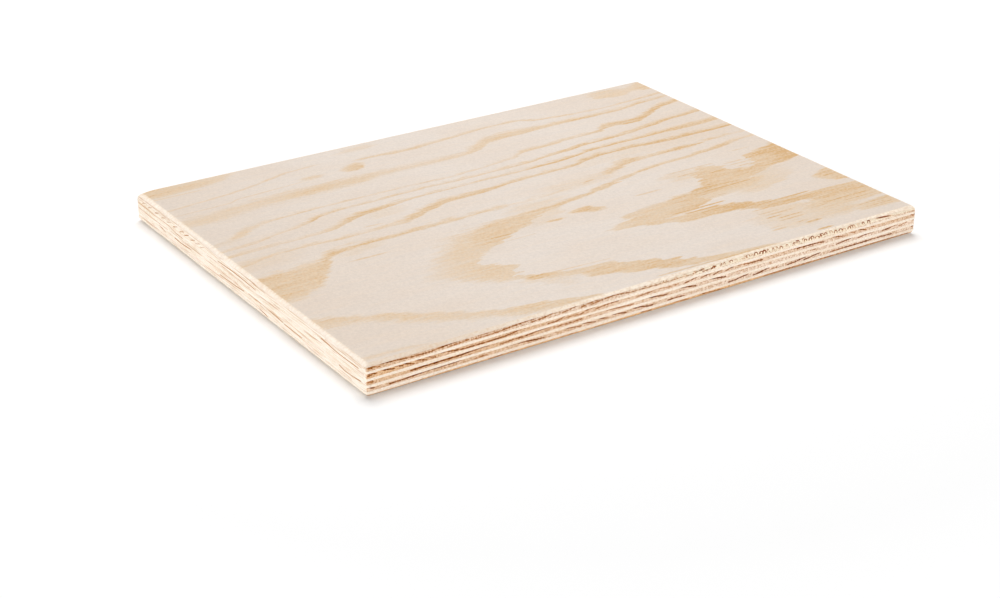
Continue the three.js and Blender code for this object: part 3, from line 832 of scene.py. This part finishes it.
def long_depth(name, x, y, z, part):
    """A long ply is proud in the middle and a little worn at its glue lines."""
    seed = int(name[-1])
    shoulder = (2 * part - 1) ** 4
    patch = uneven(x + y, z, 11, 1.2, 100 + seed)
    depth = 0.02 + 0.06 * shoulder + 0.02 * patch
    depth += 0.1 * corner_loss(x, y, 1.2)
    return np.clip(depth, 0, None)


# ---------------------------------------------------------------- the plies

def inner_ply(index, rows, depths):
    """Shapes one inner ply from its blank and records its lines of late wood on it."""
    name = PLY_NAMES[index]
    piece = inner_blank(name + "_wood", rows)
    points = read_points(piece)
    x, y = points[:, 0], points[:, 1]
    part = points[:, 2] / rows
    inside = (np.abs(x) < LENGTH / 2 - RIM) & (np.abs(y) < WIDTH / 2 - RIM)
    low = glue_line(index, x, y)
    high = glue_line(index + 1, x, y)
    girth = girth_at(low) * (1 - part) + girth_at(high) * part
    height = edge_at(girth)[0]
    out_x, out_y = outward(x, y)
    end = np.abs(out_y) if name.startswith("cross") else np.abs(out_x)
    away, late, place = edge_lines(name, x, y, height, np.abs(out_x) > np.abs(out_y))
    # The tone of the end grain; on cross_ply_5 it also carries painted bounce light
    tone_and_bounce = CROSS_TONE_AND_BOUNCE.get(name, [(0, 0)])
    tone = np.interp(place, [d[0] for d in tone_and_bounce], [d[1] for d in tone_and_bounce])
    depth = depths(name, x, y, height, part)
    torn = np.zeros(len(x))
    tuft = np.zeros(len(x))
    if name == "cross_ply_1":
        front = np.clip(-out_y, 0, 1)
        splinter, nick = gouge(x, height)
        pits, tuft = torn_fibres(x, height)
        depth = depth + (0.22 * pits + 0.3 * splinter + 0.35 * nick - 0.09 * tuft) * front
        depth = np.clip(depth, 0.01, None)
        torn = np.clip(pits + 0.8 * splinter + nick, 0, 1) * front
        raised = np.clip((x + 40) / 60, 0, 1) * np.clip((height - 15.1) / 0.5, 0, 1)
        tuft = np.maximum(tuft, 0.7 * raised * (1 - torn)) * front
    edge = np.stack(on_the_edge(x, y, girth, depth), axis=1)
    hidden = np.stack([x, y, np.where(part > 0.5, high, low)], axis=1)
    write_points(piece, np.where(inside[:, None], hidden, edge))
    write_value(piece, "away", away)
    write_value(piece, "late", late)
    write_value(piece, "tone", tone)
    write_value(piece, "end", end)
    write_value(piece, "torn", torn)
    write_value(piece, "tuft", tuft)
    turn_outward(piece)
    return piece


def outer_ply(index, rows, figure):
    """Shapes the face or back veneer: flat, then over the rounded arris to its glue line."""
    name = PLY_NAMES[index]
    up = 1 if index else -1
    piece = outer_blank(name + "_wood", rows)
    points = read_points(piece)
    x, y = points[:, 0], points[:, 1]
    part = -points[:, 2] / rows
    hidden = (part > 0.99) & (np.abs(x) < LENGTH / 2 - RIM) & (np.abs(y) < WIDTH / 2 - RIM)
    flat = part < 0.01
    glued = glue_line(index if index else 1, x, y)
    girth = up * ROUND_GIRTH * (1 - part) + girth_at(glued) * part
    girth = np.where(flat, up * ROUND_GIRTH, girth)
    depth = 0.03 * part * (1 + uneven(x + y, part, 7, 0.6, 120 + index))
    edge = np.stack(on_the_edge(x, y, girth, depth), axis=1)
    land = 1 - 2 * ARRIS / np.array([LENGTH, WIDTH])
    level = THICKNESS * (up > 0) - worn_corner(x * land[0], y * land[1], THICKNESS * (up > 0))
    face = np.stack([x * land[0], y * land[1], level], axis=1)
    under = np.stack([x, y, glued], axis=1)
    placed = np.where(flat[:, None], face, np.where(hidden[:, None], under, edge))
    write_points(piece, placed)
    ring, groups = figure(placed[:, 0], placed[:, 1])
    out_x, out_y = outward(x, y)
    rim = np.where(flat, 0, part)
    write_value(piece, "ring", ring)
    for letter, values in zip(BAND_GROUPS, groups):
        values[:, 2] *= 1 - 0.45 * rim
        write_vector(piece, "band_" + letter, values)
    # Painted light falloff: the face turns darker and warmer towards both ends
    write_value(piece, "painted_falloff", np.clip((np.abs(x - 5) - 70) / 330, 0, 0.35))
    # Painted shading from the fall of the light: the face is a little darker towards the rear left
    # and lighter towards the front left
    painted_shading = np.clip((y + 20) / 100, -1, 1) * np.clip((70 - x) / 150, 0, 1)
    write_value(piece, "painted_shading", painted_shading * (up > 0))
    write_value(piece, "end", np.abs(out_x) * np.clip(rim * 2, 0, 1))
    write_value(piece, "rim", rim)
    write_value(piece, "dull", np.clip(-out_y, 0, 1) * np.clip((-50 - x) / 80, 0, 1))
    turn_outward(piece)
    return piece


# ---------------------------------------------------------------- finishes

def wood(red, green, blue):
    """A wood colour on the 0 to 255 scale, as Blender wants it."""
    parts = []
    for value in (red, green, blue):
        share = value / 255
        parts.append(share / 12.92 if share <= 0.04045 else ((share + 0.055) / 1.055) ** 2.4)
    return (*parts, 1)


class Finish:
    """A material being put together from nodes."""

    def __init__(self, name):
        """Starts a material on one shader, placed by the piece's own coordinates."""
        self.material = bpy.data.materials.new(name)
        self.material.use_nodes = True
        self.tree = self.material.node_tree
        self.shader = self.tree.nodes["Principled BSDF"]
        self.place = self.tree.nodes.new("ShaderNodeTexCoord").outputs["Object"]

    def join(self, source, target):
        """Links one socket to another."""
        self.tree.links.new(source, target)

    def value(self, name):
        """A number kept on the points of the piece."""
        node = self.tree.nodes.new("ShaderNodeAttribute")
        node.attribute_name = name
        return node.outputs["Fac"]

    def parts(self, name):
        """The three numbers kept on the points under one name."""
        node = self.tree.nodes.new("ShaderNodeAttribute")
        node.attribute_name = name
        split = self.tree.nodes.new("ShaderNodeSeparateXYZ")
        self.join(node.outputs["Vector"], split.inputs[0])
        return split.outputs[0], split.outputs[1], split.outputs[2]

    def sum(self, operation, *inputs, clamp=False):
        """Arithmetic on sockets and plain numbers."""
        node = self.tree.nodes.new("ShaderNodeMath")
        node.operation = operation
        node.use_clamp = clamp
        for socket, given in zip(node.inputs, inputs):
            if isinstance(given, (int, float)):
                socket.default_value = given
            else:
                self.join(given, socket)
        return node.outputs[0]

    def noise(self, size, detail=2.0, roughness=0.5, offset=(0, 0, 0), turn=0.0):
        """Cloudy noise whose patches have the given size in millimetres along X, Y and Z."""
        place = self.place
        if turn:
            turned = self.tree.nodes.new("ShaderNodeVectorRotate")
            turned.rotation_type = "Z_AXIS"
            turned.inputs["Angle"].default_value = turn
            self.join(place, turned.inputs["Vector"])
            place = turned.outputs["Vector"]
        mapping = self.tree.nodes.new("ShaderNodeMapping")
        mapping.inputs["Scale"].default_value = [1 / (s * MM) for s in size]
        mapping.inputs["Location"].default_value = offset
        self.join(place, mapping.inputs["Vector"])
        node = self.tree.nodes.new("ShaderNodeTexNoise")
        node.inputs["Scale"].default_value = 1
        node.inputs["Detail"].default_value = detail
        node.inputs["Roughness"].default_value = roughness
        self.join(mapping.outputs["Vector"], node.inputs["Vector"])
        return node.outputs["Fac"]

    def steps(self, source, stops):
        """A curve through (position, level) stops, straight between them."""
        node = self.tree.nodes.new("ShaderNodeValToRGB")
        ramp = node.color_ramp
        for position, level in stops[2:]:
            ramp.elements.new(position)
        for element, (position, level) in zip(ramp.elements, stops):
            element.position = position
            element.color = (level, level, level, 1)
        self.join(source, node.inputs["Fac"])
        return node.outputs["Color"]

    def blend(self, share, first, second, mode="MIX"):
        """The first colour with a share of the second over it."""
        node = self.tree.nodes.new("ShaderNodeMix")
        node.data_type = "RGBA"
        node.blend_type = mode
        for socket, given in ((node.inputs[0], share), (node.inputs[6], first),
                              (node.inputs[7], second)):
            if isinstance(given, (int, float, tuple)):
                socket.default_value = given
            else:
                self.join(given, socket)
        return node.outputs[2]

    def spread(self, source, low, high, to_low=0.0, to_high=1.0):
        """Stretches the range low to high onto another, and holds it at the ends."""
        node = self.tree.nodes.new("ShaderNodeMapRange")
        node.inputs["From Min"].default_value = low
        node.inputs["From Max"].default_value = high
        node.inputs["To Min"].default_value = to_low
        node.inputs["To Max"].default_value = to_high
        self.join(source, node.inputs["Value"])
        return node.outputs["Result"]

    def relief(self, height, strength, distance):
        """Fine bump, with its distance in millimetres."""
        node = self.tree.nodes.new("ShaderNodeBump")
        node.inputs["Strength"].default_value = strength
        node.inputs["Distance"].default_value = distance * MM
        self.join(height, node.inputs["Height"])
        self.join(node.outputs["Normal"], self.shader.inputs["Normal"])


def band_level(finish, name, low_shift, high_shift):
    """How strongly one group of bands shows, its two sides feathered by the given noises."""
    low, high, strength = finish.parts(name)
    low = finish.sum("ADD", low, low_shift)
    high = finish.sum("ADD", high, high_shift)
    return finish.sum("MULTIPLY", finish.sum("MINIMUM", low, high, clamp=True), strength)


def sanded_pine():
    """The sanded faces: pale early wood, streaky tan late wood, fine fibres along X."""
    finish = Finish("sanded_pine")
    feather = finish.noise((14, 0.9, 0.9), detail=3, roughness=0.6)
    fringe = finish.noise((4, 0.6, 0.6), detail=2, offset=(3, 7, 1))
    wander = finish.noise((9, 4, 4), detail=2, offset=(6, 1, 5))
    dash = finish.noise((15, 1.9, 1.9), detail=3, roughness=0.6, offset=(4, 4, 6))
    fibre = finish.noise((24, 1.9, 1.9), detail=4, roughness=0.65, offset=(5, 2, 8))
    stripe = finish.noise((46, 4.2, 4.2), detail=2, offset=(2, 6, 9))
    cloud = finish.noise((60, 22, 22), detail=2, offset=(1, 4, 2))
    mottle = finish.noise((1.4, 1.7, 1.7), detail=3, roughness=0.7, offset=(9, 3, 3))
    grit = finish.noise((1.7, 1.5, 1.5), detail=2, offset=(7, 7, 2))
    speck = finish.noise((2.4, 0.5, 0.5), detail=1, offset=(2, 8, 4))
    scratch = finish.noise((0.3, 9, 9), detail=1, turn=math.radians(-28))

    crisp = finish.sum("ADD", finish.spread(feather, 0.3, 0.7, -0.5, 0.5),
                       finish.spread(fringe, 0.3, 0.7, -0.35, 0.35))
    loose = finish.sum("ADD", finish.spread(feather, 0.3, 0.7, -0.45, 0.45),
                       finish.spread(wander, 0.3, 0.7, -0.3, 0.3))
    rough = finish.spread(fringe, 0.3, 0.7, -0.3, 0.3)
    late = finish.sum("MAXIMUM", band_level(finish, "band_a", crisp, loose),
                      band_level(finish, "band_b", crisp, loose))
    late = finish.sum("MAXIMUM", late, band_level(finish, "band_e", loose, loose))
    over = finish.sum("MAXIMUM", band_level(finish, "band_c", rough, rough),
                      band_level(finish, "band_d", crisp, crisp))
    over = finish.sum("MULTIPLY", over, finish.spread(dash, 0.35, 0.6, 0.75, 1.05))
    late = finish.sum("MAXIMUM", late, over)
    ring = finish.sum("ADD", finish.value("ring"), finish.spread(feather, 0.3, 0.7, -0.1, 0.1))
    ring = finish.steps(finish.sum("FRACT", ring), [(0, 0), (0.03, 0), (0.58, 0), (0.8, 0.5),
                                                    (0.96, 0.8), (1, 0)])
    late = finish.sum("MAXIMUM", late, ring)
    late = finish.sum("MULTIPLY", late, finish.spread(fibre, 0.3, 0.7, 0.7, 1.28))
    late = finish.sum("MULTIPLY", late, finish.spread(stripe, 0.3, 0.7, 0.88, 1.12))
    late = finish.sum("MULTIPLY", late, finish.spread(grit, 0.3, 0.7, 0.7, 1.25))
    late = finish.sum("ADD", late, finish.spread(fibre, 0.35, 0.65, -0.04, 0.06), clamp=True)

    colour = finish.blend(finish.spread(cloud, 0.4, 0.65, 0, 0.4), wood(232, 220, 209),
                          wood(230, 213, 197))
    # Painted light falloff: darker and warmer towards both ends of the sheet
    colour = finish.blend(finish.value("painted_falloff"), colour, wood(222, 203, 184))
    colour = finish.blend(finish.spread(late, 0, 0.5), colour, wood(226, 201, 171))
    colour = finish.blend(finish.spread(late, 0.5, 1.0), colour, wood(214, 173, 120))
    grain = finish.spread(mottle, 0.3, 0.7, 0.94, 1.055)
    grain = finish.sum("MULTIPLY", grain, finish.spread(fibre, 0.3, 0.7, 0.975, 1.025))
    grain = finish.sum("MULTIPLY", grain, finish.spread(scratch, 0.6, 0.75, 1.0, 1.04))
    # Painted shading: darker towards the rear left, lighter towards the front left
    grain = finish.sum("MULTIPLY", grain, finish.spread(finish.value("painted_shading"), -1, 1, 1.015, 0.983))
    colour = finish.blend(1.0, colour, grain, mode="MULTIPLY")
    colour = finish.blend(finish.spread(speck, 0.72, 0.8, 0, 0.3), colour,
                          wood(176, 150, 120))
    rim = finish.spread(finish.value("rim"), 0.02, 0.16)
    rim = finish.sum("MULTIPLY", rim, finish.spread(dash, 0.35, 0.65, 0.6, 1.0))
    fresh = finish.blend(finish.value("end"), wood(252, 238, 219), wood(252, 240, 226))
    fresh = finish.blend(finish.value("dull"), fresh, wood(229, 211, 191))
    gritty = finish.sum("MULTIPLY", finish.spread(grit, 0.42, 0.66, 0, 0.5),
                        finish.spread(finish.value("end"), 0, 1, 1, 0.55))
    fresh = finish.blend(gritty, fresh, wood(216, 180, 142))
    colour = finish.blend(rim, colour, fresh)
    finish.join(colour, finish.shader.inputs["Base Color"])

    finish.join(finish.spread(late, 0, 1, 0.66, 0.52), finish.shader.inputs["Roughness"])
    finish.shader.inputs["Specular IOR Level"].default_value = 0.25
    height = finish.sum("ADD", fibre, finish.sum("MULTIPLY", late, 0.6))
    finish.relief(height, 0.25, 0.05)
    return finish.material


def cross_ply_finish():
    """Plies cut across the grain on the long edges: rough end grain with dark arcs."""
    finish = Finish("cross_ply_wood")
    tick = finish.noise((0.75, 20, 3.5), detail=2, roughness=0.6)
    blot = finish.noise((1.3, 20, 1.0), detail=2, roughness=0.6, offset=(8, 5, 3))
    pore = finish.noise((0.9, 16, 0.65), detail=2, roughness=0.65, offset=(4, 1, 6))
    patch = finish.noise((11, 60, 2.2), detail=2, offset=(7, 3, 2))
    streak = finish.noise((0.6, 26, 0.55), detail=3, roughness=0.6, offset=(2, 9, 5))
    vein = finish.noise((0.5, 15, 0.42), detail=2, roughness=0.6, offset=(5, 3, 9))
    break_up = finish.noise((3, 9, 3), detail=1, offset=(6, 6, 1))

    away = finish.sum("ADD", finish.value("away"), finish.spread(pore, 0.3, 0.7, -0.14, 0.14))
    away = finish.sum("ADD", away, finish.spread(tick, 0.3, 0.7, 0.08, -0.08))
    line = finish.sum("MULTIPLY", finish.spread(away, 0.46, 0.12), finish.value("late"))
    ticked = finish.sum("MULTIPLY", line, finish.spread(tick, 0.3, 0.62, 0.7, 1.2))
    ticked = finish.sum("MULTIPLY", ticked, finish.spread(blot, 0.4, 0.54, 0.65, 1.4))

    end = finish.blend(finish.value("tone"), wood(247, 229, 211), wood(224, 186, 148))
    # Painted bounce light: where the tone runs above 1, on cross_ply_5, its shaded lower round
    # turns brighter and warm orange
    low = finish.spread(finish.value("tone"), 1, 1.6, 0, 0.7)
    end = finish.blend(low, end, wood(255, 208, 150))
    end = finish.blend(finish.spread(patch, 0.35, 0.7, 0, 0.35), end, wood(224, 196, 168))
    end = finish.blend(finish.spread(tick, 0.5, 0.68, 0, 0.5), end, wood(192, 142, 92))
    end = finish.blend(finish.spread(blot, 0.48, 0.66, 0, 0.5), end, wood(186, 132, 82))
    end = finish.blend(finish.spread(pore, 0.53, 0.64, 0, 0.75), end, wood(168, 112, 64))
    end = finish.blend(finish.spread(ticked, 0, 0.6), end, wood(182, 114, 48))
    end = finish.blend(finish.spread(ticked, 0.4, 0.95), end, wood(102, 44, 2))

    side = finish.blend(finish.spread(streak, 0.48, 0.66, 0, 0.8), wood(252, 241, 229),
                        wood(214, 181, 140))
    side = finish.blend(finish.spread(vein, 0.54, 0.64, 0, 0.6), side, wood(206, 164, 112))
    fine = finish.spread(away, 0.34, 0.1)
    faint = finish.sum("MULTIPLY", fine, finish.value("late"))
    faint = finish.sum("MULTIPLY", faint, finish.spread(break_up, 0.35, 0.55, 0.6, 1.4))
    side = finish.blend(faint, side, wood(182, 124, 58))

    colour = finish.blend(finish.value("end"), side, end)
    plain = finish.sum("SUBTRACT", 1.0, ticked, clamp=True)
    tuft = finish.sum("MULTIPLY", finish.value("tuft"), finish.spread(pore, 0.4, 0.62, 1.0, 0.8))
    colour = finish.blend(finish.sum("MULTIPLY", tuft, plain), colour, wood(255, 244, 219))
    torn = finish.value("torn")
    colour = finish.blend(finish.spread(torn, 0.12, 0.45, 0, 0.4), colour, wood(232, 164, 92))
    colour = finish.blend(finish.spread(torn, 0.36, 0.68, 0, 0.98), colour, wood(134, 56, 0))
    finish.join(colour, finish.shader.inputs["Base Color"])

    finish.join(finish.spread(finish.value("end"), 0, 1, 0.68, 0.85),
                finish.shader.inputs["Roughness"])
    finish.shader.inputs["Specular IOR Level"].default_value = 0.06
    height = finish.sum("SUBTRACT", pore, finish.sum("MULTIPLY", tick, 0.8))
    finish.relief(height, 0.5, 0.18)
    return finish.material


def long_ply_finish():
    """Plies with their grain along the sheet: smooth cream on the long edges."""
    finish = Finish("long_ply_wood")
    streak = finish.noise((26, 0.5, 0.4), detail=3, roughness=0.6)
    fine = finish.noise((7, 0.25, 0.22), detail=2, offset=(3, 5, 1))
    patch = finish.noise((40, 9, 3), detail=2, offset=(8, 2, 4))
    pore = finish.noise((18, 0.6, 0.6), detail=3, roughness=0.7, offset=(1, 7, 3))
    dust = finish.noise((1.3, 1.3, 0.6), detail=2, roughness=0.7, offset=(6, 2, 7))
    thread = finish.noise((0.5, 13, 0.42), detail=2, roughness=0.6, offset=(2, 4, 4))

    away = finish.sum("ADD", finish.value("away"), finish.spread(pore, 0.3, 0.7, -0.08, 0.08))
    line = finish.sum("MULTIPLY", finish.spread(away, 0.4, 0.12), finish.value("late"))
    line = finish.sum("MULTIPLY", line, 1.6, clamp=True)

    side = finish.blend(finish.spread(patch, 0.35, 0.65), wood(243, 229, 212),
                        wood(248, 238, 225))
    side = finish.blend(finish.spread(streak, 0.5, 0.68, 0, 0.4), side, wood(224, 190, 152))
    side = finish.blend(finish.spread(fine, 0.5, 0.75, 0, 0.3), side, wood(222, 194, 162))
    side = finish.blend(finish.spread(dust, 0.5, 0.64, 0, 0.5), side, wood(214, 180, 144))

    end = finish.blend(finish.spread(pore, 0.4, 0.7), wood(253, 245, 234), wood(228, 207, 178))
    end = finish.blend(finish.spread(thread, 0.54, 0.64, 0, 0.55), end, wood(206, 166, 116))
    end = finish.blend(line, end, wood(182, 124, 60))

    colour = finish.blend(finish.value("end"), side, end)
    finish.join(colour, finish.shader.inputs["Base Color"])

    finish.join(finish.spread(finish.value("end"), 0, 1, 0.66, 0.8),
                finish.shader.inputs["Roughness"])
    finish.shader.inputs["Specular IOR Level"].default_value = 0.3
    height = finish.sum("ADD", streak, pore)
    finish.relief(height, 0.3, 0.08)
    return finish.material


# ---------------------------------------------------------------- floor, light and camera

# Metres. Near the sheet the floor takes its tone from the lamps, so that the shadow shows.
# Further out it glows to plain white for the camera, also by way of a mirror or glass.
FLOOR_SIZE = 8
FLOOR_DROP = 0.0001
GLOW_FROM = 0.35
GLOW_FULL = 2.2
GLOW_NEAR = 0.095

# Where the camera stands in metres, its turns in degrees, its roll in radians and its lens
CAMERA_PLACE = (-0.6002295, -0.8592041, 0.4507215)
CAMERA_HEADING = -34.17644
CAMERA_DOWN = 25.3967
CAMERA_ROLL = 0.00776023
CAMERA_LENS = 69.9024


def looked_at(nodes, links):
    """1 for a ray from the camera, also by way of a mirror or glass, and 0 for the light."""
    path = nodes.new("ShaderNodeLightPath")
    mirrored = nodes.new("ShaderNodeMath")
    mirrored.operation = "MAXIMUM"
    links.new(path.outputs["Is Camera Ray"], mirrored.inputs[0])
    links.new(path.outputs["Is Glossy Ray"], mirrored.inputs[1])
    through = nodes.new("ShaderNodeMath")
    through.operation = "MAXIMUM"
    links.new(mirrored.outputs[0], through.inputs[0])
    links.new(path.outputs["Is Transmission Ray"], through.inputs[1])
    return through.outputs[0]


def lay_floor():
    """A matt white floor that keeps the shadow and fades to plain white."""
    bpy.ops.object.select_all(action="DESELECT")
    bpy.ops.mesh.primitive_plane_add(size=FLOOR_SIZE, location=(0, 0, -FLOOR_DROP))
    floor = start_piece("floor")
    material = bpy.data.materials.new("floor_white")
    material.use_nodes = True
    nodes = material.node_tree.nodes
    links = material.node_tree.links
    shader = nodes["Principled BSDF"]
    shader.inputs["Base Color"].default_value = (0.97, 0.97, 0.97, 1)
    shader.inputs["Roughness"].default_value = 1
    shader.inputs["Specular IOR Level"].default_value = 0
    shader.inputs["Emission Color"].default_value = (1, 1, 1, 1)
    place = nodes.new("ShaderNodeTexCoord")
    reach = nodes.new("ShaderNodeVectorMath")
    reach.operation = "LENGTH"
    links.new(place.outputs["Object"], reach.inputs[0])
    strength = nodes.new("ShaderNodeMapRange")
    strength.inputs["From Min"].default_value = GLOW_FROM
    strength.inputs["From Max"].default_value = GLOW_FULL
    strength.inputs["To Min"].default_value = GLOW_NEAR
    strength.inputs["To Max"].default_value = 1.0
    links.new(reach.outputs["Value"], strength.inputs["Value"])
    glow = nodes.new("ShaderNodeMath")
    glow.operation = "MULTIPLY"
    links.new(strength.outputs["Result"], glow.inputs[1])
    links.new(looked_at(nodes, links), glow.inputs[0])
    links.new(glow.outputs[0], shader.inputs["Emission Strength"])
    floor.data.materials.append(material)


def hang_lamp(name, place, size, power, aim=(0, 0, 0.009)):
    """A soft box at a place in metres, turned to the middle of the sheet."""
    lamp = bpy.data.lights.new(name, "AREA")
    lamp.shape = "RECTANGLE"
    lamp.size, lamp.size_y = size
    lamp.energy = power
    holder = bpy.data.objects.new(name, lamp)
    bpy.context.scene.collection.objects.link(holder)
    direction = Vector(aim) - Vector(place)
    turn = direction.to_track_quat("-Z", "Y").to_matrix().to_4x4()
    holder.matrix_world = Matrix.Translation(place) @ turn


def light_the_room():
    """Three soft boxes and a dim white room, which the camera sees as plain white."""
    hang_lamp("key_above", (0.3, 0.72, 2.35), (1.7, 1.7), 50.3)
    hang_lamp("fill_front", (0.3, -2.4, 0.24), (2.4, 0.46), 25.5)
    hang_lamp("fill_left", (-2.4, -0.5, 0.24), (2.4, 0.46), 31.5)
    world = bpy.data.worlds.new("studio")
    bpy.context.scene.world = world
    world.use_nodes = True
    nodes = world.node_tree.nodes
    links = world.node_tree.links
    soft = nodes["Background"]
    soft.inputs["Color"].default_value = (1, 1, 1, 1)
    soft.inputs["Strength"].default_value = 0.22
    white = nodes.new("ShaderNodeBackground")
    white.inputs["Color"].default_value = (1, 1, 1, 1)
    white.inputs["Strength"].default_value = 1.0
    mix = nodes.new("ShaderNodeMixShader")
    links.new(looked_at(nodes, links), mix.inputs["Fac"])
    links.new(soft.outputs["Background"], mix.inputs[1])
    links.new(white.outputs["Background"], mix.inputs[2])
    links.new(mix.outputs["Shader"], nodes["World Output"].inputs["Surface"])


def place_camera():
    """Looks down on the sheet from its front left."""
    lens = bpy.data.cameras.new("camera")
    lens.lens = CAMERA_LENS
    lens.sensor_width = 36
    lens.clip_start = 0.05
    lens.clip_end = 20
    camera = bpy.data.objects.new("camera", lens)
    bpy.context.scene.collection.objects.link(camera)
    stand = Matrix.Translation(CAMERA_PLACE)
    heading = Matrix.Rotation(math.radians(CAMERA_HEADING), 4, "Z")
    tilt = Matrix.Rotation(math.radians(90 - CAMERA_DOWN), 4, "X")
    roll = Matrix.Rotation(CAMERA_ROLL, 4, "Z")
    camera.matrix_world = stand @ heading @ tilt @ roll
    bpy.context.scene.camera = camera


# ---------------------------------------------------------------- putting it together

def dress(piece, node, material):
    """Gives a piece its finish and puts it in the place of its solid."""
    piece.data.materials.clear()
    piece.data.materials.append(material)
    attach(piece, "root")
    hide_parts(node)


def build_sheet():
    """Makes all eleven plies, from the back veneer up to the face."""
    pine = sanded_pine()
    cross = cross_ply_finish()
    long = long_ply_finish()
    for index, name in enumerate(PLY_NAMES):
        if name.startswith("cross"):
            piece = inner_ply(index, 11 if name == "cross_ply_1" else 8, cross_depth)
            material, slot = cross, "cross_ply"
        elif name.startswith("long"):
            piece = inner_ply(index, 6, long_depth)
            material, slot = long, "long_ply"
        else:
            figure = face_figure if name == "face_veneer" else back_figure
            piece = outer_ply(index, 8, figure)
            material, slot = pine, "outer_veneer"
        dress(piece, name, material)


place_camera()
lay_floor()
light_the_room()
build_sheet()
bpy.context.scene.view_settings.view_transform = "Standard"
